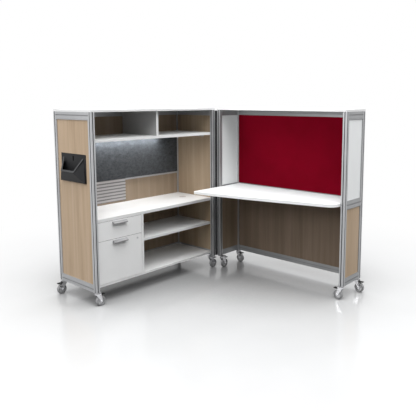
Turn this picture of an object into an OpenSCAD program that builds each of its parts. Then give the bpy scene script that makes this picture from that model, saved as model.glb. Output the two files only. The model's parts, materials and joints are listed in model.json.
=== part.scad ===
// Mobile cubicle workstation: a storage unit and a desk unit on casters, hinged at
// one upright edge. They stand at 90 degrees here and close on each other like a
// book, with the desk top reaching into the open bay of the storage unit.
// Millimetres, +Z up, floor at z = 0, origin under the middle of the bounding box.
// Each unit is drawn in its own frame, as seen by someone in front of it: x runs
// from its left end to its right end, and y from its front face to its back.

/* [Units] */
// Width of each unit
unit_w = 1300; // [1200:10:1400]
// Depth of the storage unit
storage_d = 494; // [480:2:540]
// Depth of the desk unit
desk_d = 292; // [280:2:340]
// Height of the corner posts
post_h = 1341; // [1320:1:1420]
// From the hinge axis to the front face and end face of each unit
hinge_gap = 7; // [6:0.5:9]
// Thickness of the top caps
cap_t = 16; // [12:1:24]

/* [Frame] */
// Side of the square corner posts
post_w = 32; // [30:1:36]
// Height of the rails
rail_h = 50; // [44:1:56]
// Thickness of the rails
rail_t = 20; // [19:1:24]
// Width of the grooves in posts and rails
groove_w = 8; // [5:1:10]
// Depth of the grooves in posts and rails
groove_dp = 5; // [3:0.5:7]
// Thickness of the side and back panels
panel_t = 12; // [9:1:14]
// How far the panels lie inside the outer faces of the frame
panel_recess = 7; // [5:0.5:8]
// Width of the beads that hold the side panels
bead_w = 8; // [5:1:10]
// How far the beads lie inside the outer faces of the frame
bead_set = 1; // [0.5:0.5:2]

/* [Storage boards] */
// Underside of the bottom panel above the foot of the posts
bottom_lift = 22; // [16:1:24]
// Thickness of the bottom panel
bottom_t = 16; // [12:1:20]
// Height of the worktop's upper face above the floor
worktop_z = 654; // [640:2:680]
// Thickness of the worktop
worktop_t = 24; // [18:1:28]
// Clear height of the compartments over the overhead shelf
overhead_room = 150; // [120:1:180]
// Thickness of the overhead shelf
overhead_t = 22; // [16:1:28]
// Thickness of the upright divider on the overhead shelf
divider_t = 22; // [16:1:28]
// Height of the middle shelf's upper face above the floor
mid_shelf_z = 425; // [380:5:450]
// Thickness of the middle shelf
mid_shelf_t = 20; // [16:1:24]
// How far the middle shelf's front edge lies behind the other boards
mid_shelf_set = 14; // [5:1:30]

/* [Wall accessories] */
// Thickness of the tackboard and of the fabric tack panel
tack_t = 8; // [6:0.5:10]
// Height of the tackboard's lower edge above the worktop
tack_lift = 207; // [195:1:230]
// Height of the tool rail
tool_rail_h = 14; // [10:1:20]
// How far the tool rail stands out from the back panel
tool_rail_out = 12; // [9:1:20]
// Height of the slatted tile
tile_h = 191; // [150:1:195]
// Number of slats on the tile
tile_slats = 7; // [4:1:9]
// Thickness of the tile's back sheet
tile_sheet_t = 3; // [2:0.5:4]
// Length of the task light
light_l = 900; // [600:10:1100]
// Width of the task light, front to back
light_w = 40; // [30:1:50]
// Height of the task light's housing
light_h = 16; // [12:1:24]
// Thickness of the task light's diffuser
lens_t = 4; // [2:0.5:6]
// From the tackboard to the task light
light_set = 70; // [40:5:100]

/* [Pedestal] */
// Clear width of the pedestal between its two sides
pedestal_w = 433; // [400:1:460]
// Thickness of the pedestal's partition
partition_t = 20; // [16:1:22]
// Height of the box drawer's front
box_front_h = 144; // [120:1:170]
// Thickness of the drawer fronts
front_t = 18; // [15:1:20]
// Gap round each drawer front
front_gap = 2.5; // [2:0.5:4]
// Height of the box drawer's tray
box_tray_h = 96; // [70:1:104]
// Space between the trays and the back panel
tray_room = 28; // [20:1:60]
// Thickness of the trays' walls
tray_wall = 12; // [9:1:15]
// Thickness of the trays' bottoms
tray_floor = 6; // [4:1:9]
// Space for a runner on each side of a tray
runner_space = 13; // [12:0.5:14]
// Height of the runners
runner_h = 44; // [36:1:46]
// Thickness of the runners' sheet steel
runner_sheet = 2; // [1.5:0.5:2.5]
// Length of the drawer pulls
pull_l = 140; // [100:5:180]
// Height of a pull's lip
pull_h = 25; // [18:1:30]
// How far a pull stands out from its drawer front
pull_out = 25; // [18:1:30]
// Thickness of a pull's metal
pull_t = 3; // [2:0.5:4]
// From the upper edge of a drawer front down to its pull
pull_drop = 7; // [3:1:15]
// Radius of the lock cylinder
lock_r = 9; // [7:0.5:10]
// How far the turned cam reaches into the pedestal's partition
cam_bite = 7; // [4:1:10]
// Width of the lock's cam
cam_w = 12; // [8:1:14]
// Thickness of the lock's cam
cam_t = 3; // [2:0.5:4]
// From the file front's right edge to the lock's axis
lock_in = 40.5; // [38:0.5:42]
// From the file front's upper edge to the lock's axis
lock_drop = 33.5; // [32:0.5:36]

/* [Desk] */
// Height of the desk top's upper face above the floor
desk_z = 760; // [740:2:780]
// Thickness of the desk top
desk_t = 22; // [18:1:28]
// How far the desk top's left end reaches out in front of its unit
desk_reach_left = 349; // [300:1:380]
// How far the desk top's right end reaches out in front of its unit
desk_reach_right = 102; // [90:1:140]
// How far the front edge bulges past a straight line
desk_bulge = 12; // [0:1:20]
// Radius of the desk top's left front corner
desk_r_left = 25; // [15:1:60]
// Radius of the desk top's right front corner
desk_r_right = 75; // [60:1:88]
// Gap between the desk top's left end and the post
desk_gap_left = 2; // [2:0.5:5]
// Gap between the desk top's right end and the post
desk_gap_right = 4; // [4:0.5:8]
// How far the middle rails rise over the desk top
mid_rail_rise = 8; // [4:1:14]
// Height of the arms under the desk top
arm_h = 30; // [24:1:36]
// Width of the arms under the desk top
arm_w = 24; // [20:1:30]
// From the desk top's front edge back to the tip of each arm
arm_set = 150; // [130:5:160]
// Thickness of the arms' sheet steel
arm_sheet = 3; // [2:0.5:4]

/* [Wall pocket] */
// Width of the wall pocket's back plate
pocket_w = 324; // [280:2:340]
// Height of the wall pocket's back plate
pocket_h = 211; // [190:1:240]
// Height of the wall pocket's lower edge above the floor
pocket_z = 928; // [880:2:960]
// Thickness of the wall pocket's walls
pocket_t = 3; // [2:0.5:4]
// How far the pocket's mouth stands out from the panel
pocket_out = 62; // [50:1:70]
// How far the pocket's foot stands out from the panel
pocket_foot = 16; // [12:1:20]
// Height of the pocket's front wall
pocket_front_h = 74; // [60:1:100]
// Height of the pocket's side walls where they meet the back plate
pocket_side_h = 178; // [150:1:184]
// How far the front wall's upper corners lie in from the plate's edges
pocket_taper = 84; // [60:1:100]
// How far the side walls' upper ends lie in from the plate's edges
pocket_side_in = 34; // [20:1:44]
// Width of the hang slot
slot_w = 7; // [5:0.5:9]
// Height of the hang slot
slot_h = 34; // [24:1:36]
// From the plate's upper edge to the hang slot
slot_drop = 16; // [12:1:22]

/* [Hinge] */
// Radius of the hinge pin
pin_r = 2.5; // [2:0.1:3]
// Width of each hinge leaf on its post
leaf_w = 28; // [20:1:29]
// Thickness of each hinge leaf
leaf_t = 2.5; // [2:0.1:3]
// Number of knuckles along the hinge, an odd number
knuckles = 19; // [11:2:25]

/* [Casters] */
// Height from the floor to the underside of the caster plates
caster_h = 106; // [104:1:112]
// Thickness of the caster plates
plate_t = 4; // [3:0.5:6]
// From a unit's outer faces to a caster's swivel axis
caster_in = 22; // [21:0.5:24]
// How far the two front casters by the hinge stand away from it
hinge_side_in = 16; // [14:1:20]
// From a caster's swivel axis to its plate's inner edges
plate_reach = 24; // [20:1:28]
// Radius of the wheels
wheel_r = 38; // [34:0.5:39]
// Width of the tyres
tyre_w = 25; // [20:1:26]
// From the swivel axis to the wheel axle
trail = 26; // [22:1:26]
// Radius of the kingpins
kingpin_r = 6; // [5:0.5:7]
// Radius of the wheel axles
axle_r = 4; // [3:0.5:5]
// Radius of the forks' heads
fork_head_r = 18; // [17:0.5:19]
// Thickness of the forks' legs
fork_leg_t = 3; // [2.5:0.5:3.5]
// Radius of the brake levers' pivot pins
brake_pin_r = 2.5; // [2:0.5:3]

/* [Hidden] */
$fn = 64;

// Clearances: boards and sheets, a running shaft in its bore, races that turn on
// each other, and the runners' sliding gap.
board_gap = 0.5;
run_gap = 0.05;
race_gap = 0.3;
slide_gap = 0.5;
// Overrun of every cut past the face that it opens.
cut = 1;

// Heights of the frame.
base_z = caster_h + plate_t;
top_z = base_z + post_h;
open_lo = base_z + rail_h;
open_hi = top_z - rail_h;

// Inner faces of the frame, from a unit's outer faces.
wall_in = panel_recess + panel_t;
board_in = wall_in + board_gap;
low_board_in = max(rail_t, wall_in) + board_gap;
// Boards start just behind the front posts.
board_front = post_w + board_gap;

// Storage unit.
ledge_t = pull_t;
ledge_w = rail_t / 2;
bottom_z = base_z + bottom_lift;
bottom_top = bottom_z + bottom_t;
partition_x = post_w + pedestal_w;
partition_right = partition_x + partition_t;
worktop_under = worktop_z - worktop_t;
overhead_top = open_hi - overhead_room;
overhead_z = overhead_top - overhead_t;
storage_back = storage_d - wall_in;
tile_right = unit_w / 2;
tack_z = worktop_z + tack_lift;
tile_z = tack_z - tile_h;
cleat_w = rail_t;
cleat_t = plate_t;
cleat_l = storage_d / 2;
light_groove = lens_t / 2;

// Drawers: fronts lie between the pedestal's sides.
front_x0 = post_w + front_gap;
front_x1 = partition_x - front_gap;
front_y1 = board_front + front_t;
box_z1 = worktop_under - front_gap;
box_z0 = box_z1 - box_front_h;
file_z1 = box_z0 - front_gap;
file_z0 = bottom_top + front_gap;
tray_d = storage_back - board_gap - tray_room - front_y1;
tray_x0 = post_w + runner_space;
tray_x1 = partition_x - runner_space;
box_tray_z = box_z0 + runner_sheet + tray_floor * 2;
file_tray_z = file_z0 + tray_floor * 2;
bar_inset = runner_sheet + slide_gap;
lock_x = front_x1 - lock_in;
lock_z = file_z1 - lock_drop;
cam_l = lock_in + front_gap + cam_bite;
cam_room = 5;
file_tray_h = lock_z - cam_l - cam_room - file_tray_z;
lock_face = runner_sheet / 2;
cam_gap = slide_gap;
key_w = lock_r / 4;
key_l = lock_r;
key_dp = runner_sheet / 2;

// Wall pocket.
pocket_tip = 0.01;
pocket_over_share = 0.05;

// Desk unit.
mid_rail_z = desk_z + mid_rail_rise - rail_h;
mid_rail_top = desk_z + mid_rail_rise;
desk_x0 = post_w + desk_gap_left;
desk_x1 = unit_w - post_w - desk_gap_right;
desk_back = desk_d - rail_t - board_gap;
desk_under = desk_z - desk_t;
edge_steps = 24;
corner_steps = 10;
// Slope of the straight line that the front edge follows.
edge_angle = atan2(desk_reach_left - desk_reach_right, desk_x1 - desk_x0 - desk_r_right);

// Hinge.
knuckle_clear = 0.5;
knuckle_r = hinge_gap - knuckle_clear;
hinge_h = post_h - 2 * knuckle_r;
hinge_z = base_z + knuckle_r;
knuckle_l = hinge_h / knuckles;
knuckle_slit = race_gap;
pin_head_r = knuckle_r - knuckle_clear;
pin_head_h = knuckle_r / 2;

// Casters.
race_h = 6.5;
race_r = fork_head_r - fork_leg_t / 3;
head_top = caster_h - race_h - race_gap;
head_h = fork_leg_t * 3;
head_low = head_top - head_h;
kingpin_head_r = kingpin_r * 3 / 2;
kingpin_head_h = fork_leg_t;
leg_gap = tyre_w / 2 + fork_leg_t / 2;
leg_out = leg_gap + fork_leg_t;
leg_top_back = fork_head_r - fork_leg_t;
leg_top_front = fork_head_r + fork_leg_t * 2;
leg_foot = axle_r * 2;
rivet_r = axle_r * 3 / 2;
rivet_h = fork_leg_t;
hub_r = axle_r * 11 / 4;
hub_half = leg_gap - slide_gap;
web_half = axle_r;
rim_r = wheel_r - tyre_w * 9 / 20;
tyre_round = tyre_w * 4 / 25;
brake_x = fork_head_r;
brake_z = head_low - brake_pin_r - fork_leg_t / 3;
brake_half = leg_gap - slide_gap;
brake_pin_half = leg_out - run_gap * 2;
pad_t = fork_leg_t * 5 / 3;
pad_half = tyre_w * 13 / 25;
pad_x0 = leg_top_front + fork_leg_t * 3;
wheel_reach = trail + wheel_r;
pad_x1 = trail + wheel_r * 9 / 10;
shoe_low = wheel_r * 2 + fork_leg_t * 6 / 5;

// The bounding box: back casters of the storage unit on the left, back casters of
// the desk unit on the right, the wall pocket in front and the desk unit behind.
pocket_beyond = pocket_out - panel_recess;
box_x0 = -hinge_gap - storage_d + caster_in - wheel_reach;
box_x1 = hinge_gap + unit_w - caster_in + wheel_reach;
box_y0 = -hinge_gap - unit_w - pocket_beyond;
box_y1 = hinge_gap + desk_d;
origin_x = (box_x0 + box_x1) / 2;
origin_y = (box_y0 + box_y1) / 2;

// Each caster: its name, its place in its unit, and the way that its wheel trails.
storage_casters = [
    ["storage_front_left", [caster_in, caster_in], 0],
    ["storage_front_right", [unit_w - caster_in - hinge_side_in, caster_in], 0],
    ["storage_back_left", [caster_in, storage_d - caster_in], 180],
    ["storage_back_right", [unit_w - caster_in, storage_d - caster_in], 90],
];
desk_casters = [
    ["desk_front_left", [caster_in + hinge_side_in, caster_in], 90],
    ["desk_front_right", [unit_w - caster_in, caster_in], 180],
    ["desk_back_left", [caster_in, desk_d - caster_in], 0],
    ["desk_back_right", [unit_w - caster_in, desk_d - caster_in], 0],
];
caster_names = [for (c = concat(storage_casters, desk_casters)) c[0]];

// Placing and small helpers.

module at_hinge() translate([-origin_x, -origin_y, 0]) children();

module in_storage()
    at_hinge() translate([-hinge_gap, -hinge_gap - unit_w, 0]) rotate([0, 0, 90]) children();

module in_desk() at_hinge() translate([hinge_gap, hinge_gap, 0]) children();

module box(low, high) translate(low) cube(high - low);

// A child and its mirror image at the unit's other end.
module both_ends() {
    children();
    translate([unit_w, 0, 0]) mirror([1, 0, 0]) children();
}

// Frame pieces that both units share.

module post_section() {
    difference() {
        square(post_w);
        for (side = [0:3])
            translate([post_w / 2, post_w / 2]) rotate(90 * side)
                translate([post_w / 2 - groove_dp, -groove_w / 2])
                    square([groove_dp + cut, groove_w]);
    }
}

module posts(depth) {
    color("silver")
    for (x = [0, unit_w - post_w], y = [0, depth - post_w])
        translate([x, y, base_z]) linear_extrude(post_h) post_section();
}

module side_rail(depth, z) {
    mid = z + rail_h / 2;
    difference() {
        box([0, post_w, z], [rail_t, depth - post_w, z + rail_h]);
        box([-cut, post_w - cut, mid - groove_w / 2],
            [groove_dp, depth - post_w + cut, mid + groove_w / 2]);
    }
}

module back_rail(depth, z) {
    mid = z + rail_h / 2;
    difference() {
        box([post_w, depth - rail_t, z], [unit_w - post_w, depth, z + rail_h]);
        box([post_w - cut, depth - groove_dp, mid - groove_w / 2],
            [unit_w - post_w + cut, depth + cut, mid + groove_w / 2]);
    }
}

// Four beads round one side panel, in the recess in front of it.
module beads(depth, z0, z1) {
    y0 = post_w;
    y1 = depth - post_w;
    low = z0 + board_gap;
    high = z1 - board_gap;
    for (z = [low, high - bead_w]) box([bead_set, y0, z], [panel_recess, y1, z + bead_w]);
    for (y = [y0, y1 - bead_w])
        box([bead_set, y, low + bead_w + board_gap],
            [panel_recess, y + bead_w, high - bead_w - board_gap]);
}

module side_panel(depth, z0, z1)
    box([panel_recess, post_w, z0], [wall_in, depth - post_w, z1]);

module back_panel(depth, z0, z1)
    box([post_w, depth - wall_in, z0], [unit_w - post_w, depth - panel_recess, z1]);

module top_cap(depth) color("white") box([0, 0, top_z], [unit_w, depth, top_z + cap_t]);

// A board across the storage unit, cut out round the two back posts.
module storage_board(inset, front, back, z0, z1) {
    notch = post_w + board_gap;
    difference() {
        box([inset, front, z0], [unit_w - inset, back, z1]);
        for (x = [-cut, unit_w - notch])
            box([x, storage_d - notch, z0 - cut], [x + notch + cut, storage_d, z1 + cut]);
    }
}

// Storage unit.

module storage_posts() in_storage() posts(storage_d);

module storage_rails() in_storage() color("silver") {
    both_ends() {
        side_rail(storage_d, open_hi);
        union() {
            side_rail(storage_d, base_z);
            box([rail_t - cut, post_w, bottom_z - ledge_t],
                [rail_t + ledge_w, storage_d - post_w, bottom_z]);
        }
        beads(storage_d, open_lo, open_hi);
    }
    back_rail(storage_d, open_hi);
    back_rail(storage_d, base_z);
}

module storage_top_cap() in_storage() top_cap(storage_d);

module storage_side_panels()
    in_storage() color("burlywood") both_ends() side_panel(storage_d, open_lo, open_hi);

module storage_back_panel()
    in_storage() color("burlywood") back_panel(storage_d, open_lo, open_hi);

module overhead_shelf() in_storage() color("white") {
    storage_board(board_in, board_front, storage_back - board_gap, overhead_z, overhead_top);
    box([(unit_w - divider_t) / 2, board_front, overhead_top],
        [(unit_w + divider_t) / 2, storage_d - rail_t - board_gap, top_z]);
}

module tackboard() in_storage() color("dimgray")
    box([post_w + board_gap, storage_back - tack_t, tack_z],
        [unit_w - post_w - board_gap, storage_back, overhead_z - board_gap]);

// A bar with a shallow groove along its face.
module tool_rail() in_storage() color("silver") {
    front = storage_back - tool_rail_out;
    mid = tack_z - tool_rail_h / 2;
    difference() {
        box([tile_right, front, tack_z - tool_rail_h],
            [unit_w - post_w - board_gap, storage_back, tack_z]);
        box([tile_right - cut, front - cut, mid - tool_rail_h / 6],
            [unit_w - post_w, front + tool_rail_out / 6, mid + tool_rail_h / 6]);
    }
}

module slatted_tile() in_storage() color("gainsboro") {
    pitch = tile_h / tile_slats;
    slat_h = pitch * 3 / 5;
    x0 = post_w + board_gap;
    x1 = tile_right - board_gap;
    union() {
        box([x0, storage_back - tile_sheet_t, tile_z], [x1, storage_back, tack_z]);
        for (i = [0:tile_slats - 1])
            box([x0, storage_back - tack_t, tile_z + i * pitch + (pitch - slat_h) / 2],
                [x1, storage_back - tile_sheet_t + board_gap,
                 tile_z + i * pitch + (pitch + slat_h) / 2]);
    }
}

module task_light() in_storage() {
    x0 = (unit_w - light_l) / 2;
    x1 = (unit_w + light_l) / 2;
    y1 = storage_back - tack_t - light_set;
    y0 = y1 - light_w;
    z1 = overhead_z;
    z0 = z1 - light_h;
    color("silver") box([x0, y0, z0], [x1, y1, z1]);
    color("ivory")
        box([x0 + light_groove, y0 + light_groove, z0 - lens_t],
            [x1 - light_groove, y1 - light_groove, z0]);
}

module storage_worktop() in_storage() color("white")
    storage_board(board_in, board_front, storage_back - board_gap, worktop_under, worktop_z);

module bottom_panel() in_storage() color("white")
    storage_board(low_board_in, board_front, storage_d - rail_t - board_gap,
                  bottom_z, bottom_top);

module pedestal_sides() in_storage() color("white") {
    y1 = storage_d - post_w - board_gap;
    box([low_board_in, board_front, bottom_top], [post_w, y1, worktop_under]);
    difference() {
        box([partition_x, board_front, bottom_top], [partition_right, y1, worktop_under]);
        lock_slot();
    }
}

// The slot in the partition that the lock's cam turns into.
module lock_slot() {
    room = slide_gap * 2;
    y0 = front_y1 + cam_gap;
    box([partition_x - cut, y0 - room, lock_z - cam_l * 3 / 5],
        [lock_x + cam_l + room, y0 + cam_t + room, lock_z + cam_w / 2 + room]);
}

module middle_shelf() in_storage() color("white") {
    notch = post_w + board_gap;
    difference() {
        box([partition_right + board_gap, board_front + mid_shelf_set, mid_shelf_z - mid_shelf_t],
            [unit_w - board_in, storage_back - board_gap, mid_shelf_z]);
        box([unit_w - notch, storage_d - notch, mid_shelf_z - mid_shelf_t - cut],
            [unit_w, storage_d, mid_shelf_z + cut]);
    }
}

// An angle that carries a board from below, on the wall at x.
module cleat(x, side, z) {
    y0 = (storage_d - cleat_l) / 2;
    reach = side * cleat_w;
    flange = side * cleat_t;
    union() {
        box([min(x, x + reach), y0, z - cleat_t], [max(x, x + reach), y0 + cleat_l, z]);
        box([min(x, x + flange), y0, z - cleat_w], [max(x, x + flange), y0 + cleat_l, z]);
    }
}

// The fixed half of a drawer runner: a channel that opens towards the tray.
module runner_channel(z) {
    depth = runner_space - runner_sheet;
    difference() {
        box([0, 0, z - runner_h / 2], [depth, tray_d, z + runner_h / 2]);
        box([runner_sheet, -cut, z - runner_h / 2 + runner_sheet],
            [depth + cut, tray_d + cut, z + runner_h / 2 - runner_sheet]);
    }
}

module runner_pair(z) {
    translate([post_w, front_y1, 0]) runner_channel(z);
    translate([partition_x, front_y1, 0]) mirror([1, 0, 0]) runner_channel(z);
}

function runner_z(tray_z) = tray_z + runner_h * 3 / 4;

module storage_fittings() in_storage() color("lightgray") {
    runner_pair(runner_z(box_tray_z));
    runner_pair(runner_z(file_tray_z));
    cleat(partition_right, 1, mid_shelf_z - mid_shelf_t);
    cleat(unit_w - wall_in, -1, mid_shelf_z - mid_shelf_t);
    cleat(unit_w - wall_in, -1, worktop_under);
    cleat(wall_in, 1, overhead_z);
    cleat(unit_w - wall_in, -1, overhead_z);
}

// Wall pocket on the storage unit's left end: a back plate and a tapered pouch.
// Its own frame: x to the left of the panel's face, y across, z up from its foot.
function pouch_low(wall) = [
    [wall, wall, wall], [wall, pocket_w - wall, wall],
    [pocket_foot - wall, wall, wall], [pocket_foot - wall, pocket_w - wall, wall],
];
function pouch_high(wall) = [
    [wall, pocket_side_in + wall, pocket_side_h],
    [wall, pocket_w - pocket_side_in - wall, pocket_side_h],
    [pocket_out - wall, pocket_taper + wall, pocket_front_h],
    [pocket_out - wall, pocket_w - pocket_taper - wall, pocket_front_h],
];

// The pouch's form inside a wall, 0 for its outside. Its four slanting edges run on
// past the mouth by a share of their length.
module pouch_form(wall, over_share) {
    low = pouch_low(wall);
    high = pouch_high(wall);
    hull()
        for (i = [0:3]) {
            translate(low[i]) cube(pocket_tip);
            translate(high[i] + (high[i] - low[i]) * over_share) cube(pocket_tip);
        }
}

module wall_pocket() in_storage() color("black")
    translate([panel_recess, (storage_d - pocket_w) / 2, pocket_z]) mirror([1, 0, 0])
    union() {
        difference() {
            cube([pocket_t, pocket_w, pocket_h]);
            translate([-cut, (pocket_w - slot_w) / 2, pocket_h - slot_drop - slot_h])
                cube([pocket_t + cut * 2, slot_w, slot_h]);
        }
        difference() {
            pouch_form(0, 0);
            pouch_form(pocket_t, pocket_over_share);
        }
    }

// Drawers.

module drawer_front(z0, z1) box([front_x0, board_front, z0], [front_x1, front_y1, z1]);

module drawer_tray(z, h) {
    rz = runner_z(z);
    union() {
        difference() {
            box([tray_x0, front_y1, z], [tray_x1, front_y1 + tray_d, z + h]);
            box([tray_x0 + tray_wall, front_y1 + tray_wall, z + tray_floor],
                [tray_x1 - tray_wall, front_y1 + tray_d - tray_wall, z + h + cut]);
        }
        for (x = [post_w + bar_inset, tray_x1])
            box([x, front_y1, rz - runner_h / 2 + bar_inset],
                [x + runner_space - bar_inset, front_y1 + tray_d, rz + runner_h / 2 - bar_inset]);
    }
}

// A pull bent down over the fingers, open from below.
module drawer_pull(front_top) {
    x0 = (front_x0 + front_x1 - pull_l) / 2;
    x1 = x0 + pull_l;
    y0 = board_front - pull_out;
    z1 = front_top - pull_drop;
    color("silver") union() {
        box([x0, y0, z1 - pull_t], [x1, board_front, z1]);
        box([x0, y0, z1 - pull_h], [x1, y0 + pull_t, z1]);
        box([x0, board_front - pull_t, z1 - pull_h / 2], [x1, board_front, z1]);
    }
}

module box_drawer_tray() in_storage() color("whitesmoke") drawer_tray(box_tray_z, box_tray_h);

module box_drawer_front() in_storage() color("white") drawer_front(box_z0, box_z1);

module box_drawer_pull() in_storage() drawer_pull(box_z1);

module file_drawer_tray() in_storage() color("whitesmoke")
    drawer_tray(file_tray_z, file_tray_h);

module file_drawer_front() in_storage() color("white") difference() {
    drawer_front(file_z0, file_z1);
    translate([lock_x, board_front - cut, lock_z]) rotate([-90, 0, 0])
        cylinder(r = lock_r + run_gap, h = front_t + cut * 2);
}

module file_drawer_pull() in_storage() drawer_pull(file_z1);

module lock_cylinder() in_storage() color("gray") difference() {
    union() {
        translate([lock_x, board_front - lock_face, lock_z]) rotate([-90, 0, 0])
            cylinder(r = lock_r, h = lock_face + front_t + cam_gap + cam_t);
        box([lock_x - cam_w / 2, front_y1 + cam_gap, lock_z - cam_l],
            [lock_x + cam_w / 2, front_y1 + cam_gap + cam_t, lock_z]);
    }
    box([lock_x - key_w / 2, board_front - lock_face - cut, lock_z - key_l / 2],
        [lock_x + key_w / 2, board_front - lock_face + key_dp, lock_z + key_l / 2]);
}

// Desk unit.

module desk_posts() in_desk() posts(desk_d);

module desk_rails() in_desk() color("silver") {
    both_ends() {
        for (z = [base_z, mid_rail_z, open_hi]) side_rail(desk_d, z);
        beads(desk_d, open_lo, mid_rail_z);
        beads(desk_d, mid_rail_top, open_hi);
    }
    for (z = [base_z, mid_rail_z, open_hi]) back_rail(desk_d, z);
}

module desk_top_cap() in_desk() top_cap(desk_d);

module desk_upper_panels() in_desk() color("white") {
    both_ends() side_panel(desk_d, mid_rail_top, open_hi);
    back_panel(desk_d, mid_rail_top, open_hi);
}

module desk_lower_panels() in_desk() color("burlywood") {
    both_ends() side_panel(desk_d, open_lo, mid_rail_z);
    back_panel(desk_d, open_lo, mid_rail_z);
}

module fabric_tack_panel() in_desk() color("darkred") {
    y1 = desk_d - wall_in;
    box([post_w + board_gap, y1 - tack_t, mid_rail_top],
        [unit_w - post_w - board_gap, y1, open_hi]);
}

// Outline of the desk top: straight ends and back, two rounded front corners, and
// a front edge that runs at a slant between them with a slight bulge.
left_mid = [desk_x0 + desk_r_left, desk_r_left - desk_reach_left];
right_mid = [desk_x1 - desk_r_right, desk_r_right - desk_reach_right];
function on_arc(mid, r, angle) = mid + r * [cos(angle), sin(angle)];
edge_from = on_arc(left_mid, desk_r_left, 270 + edge_angle);
edge_to = on_arc(right_mid, desk_r_right, 270 + edge_angle);
edge_out = [sin(edge_angle), -cos(edge_angle)];
desk_outline = concat(
    [[desk_x0, desk_back]],
    [for (i = [0:corner_steps])
        on_arc(left_mid, desk_r_left, 180 + (90 + edge_angle) * i / corner_steps)],
    [for (i = [1:edge_steps - 1])
        edge_from + (edge_to - edge_from) * i / edge_steps
            + edge_out * desk_bulge * sin(180 * i / edge_steps)],
    [for (i = [0:corner_steps])
        on_arc(right_mid, desk_r_right,
               270 + edge_angle + (90 - edge_angle) * i / corner_steps)],
    [[desk_x1, desk_back]]
);

module desk_top() in_desk() color("white")
    translate([0, 0, desk_under]) linear_extrude(desk_t) polygon(desk_outline);

// A steel channel under one end of the desk top, open downwards, with a flange
// against the middle back rail.
module desk_arm(x, reach) {
    front = arm_set - reach;
    union() {
        difference() {
            box([x, front, desk_under - arm_h], [x + arm_w, desk_back, desk_under]);
            box([x + arm_sheet, front - cut, desk_under - arm_h - cut],
                [x + arm_w - arm_sheet, desk_back - arm_sheet, desk_under - arm_sheet]);
        }
        box([x, desk_back - arm_sheet, mid_rail_z],
            [x + arm_w, desk_d - rail_t, desk_under - board_gap]);
    }
}

module desk_arms() in_desk() color("darkgray") {
    desk_arm(desk_x0 + arm_sheet, desk_reach_left);
    desk_arm(desk_x1 - arm_w - arm_sheet, desk_reach_right);
}

// Hinge. The storage leaf has the odd knuckles and the desk leaf the even ones.

module knuckle(i)
    translate([0, 0, hinge_z + i * knuckle_l + knuckle_slit / 2])
        cylinder(r = knuckle_r, h = knuckle_l - knuckle_slit);

// A leaf along -x with its post behind it at -y, notched for the other's knuckles.
module hinge_leaf(first) {
    other = 1 - first;
    color("black") difference() {
        union() {
            box([-hinge_gap - leaf_w, -hinge_gap, hinge_z],
                [0, leaf_t - hinge_gap, hinge_z + hinge_h]);
            for (i = [first:2:knuckles - 1]) knuckle(i);
        }
        for (i = [other:2:knuckles - 1])
            box([leaf_t / 2 - knuckle_r, -hinge_gap - cut,
                 hinge_z + i * knuckle_l - knuckle_slit / 2],
                [knuckle_r, leaf_t, hinge_z + (i + 1) * knuckle_l + knuckle_slit / 2]);
        translate([0, 0, hinge_z - cut]) cylinder(r = pin_r + run_gap, h = hinge_h + cut * 2);
    }
}

module storage_hinge_leaf() at_hinge() hinge_leaf(0);

module desk_hinge_leaf() at_hinge() mirror([1, 1, 0]) hinge_leaf(1);

module hinge_pin() at_hinge() color("gray") {
    low = hinge_z - race_gap;
    high = hinge_z + hinge_h + race_gap;
    union() {
        translate([0, 0, low]) cylinder(r = pin_r, h = high - low);
        translate([0, 0, low - pin_head_h]) cylinder(r = pin_head_r, h = pin_head_h);
        translate([0, 0, high]) cylinder(r = pin_head_r, h = pin_head_h);
    }
}

// Casters. A caster's own frame has the swivel axis at x = y = 0, the floor at
// z = 0 and the wheel trailing along +x.

module caster_plates(casters, depth) color("lightgray")
    for (c = casters) caster_plate(c[1], depth);

// A plate from the unit's outer corner to past the swivel axis, with its kingpin.
module caster_plate(place, depth) {
    left = place[0] < unit_w / 2;
    front = place[1] < depth / 2;
    margin = caster_in / 10;
    x0 = left ? margin : place[0] - plate_reach;
    x1 = left ? place[0] + plate_reach : unit_w - margin;
    y0 = front ? margin : place[1] - plate_reach;
    y1 = front ? place[1] + plate_reach : depth - margin;
    union() {
        box([x0, y0, caster_h], [x1, y1, base_z]);
        translate([place[0], place[1], 0]) {
            translate([0, 0, caster_h - race_h]) cylinder(r = race_r, h = race_h + cut);
            translate([0, 0, head_low - race_gap]) cylinder(r = kingpin_r, h = caster_h - head_low);
            translate([0, 0, head_low - race_gap - kingpin_head_h])
                cylinder(r = kingpin_head_r, h = kingpin_head_h);
        }
    }
}

module storage_caster_plates() in_storage() caster_plates(storage_casters, storage_d);

module desk_caster_plates() in_desk() caster_plates(desk_casters, desk_d);

// Side view of a fork's leg, in x and z.
module leg_outline() {
    polygon([
        [-leg_top_back, head_top], [leg_top_front, head_top],
        [leg_top_front, brake_z - brake_pin_r * 2],
        [trail + leg_foot, wheel_r], [trail - leg_foot, wheel_r],
        [-leg_top_back, head_low],
    ]);
    translate([trail, wheel_r]) circle(r = leg_foot);
}

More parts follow.
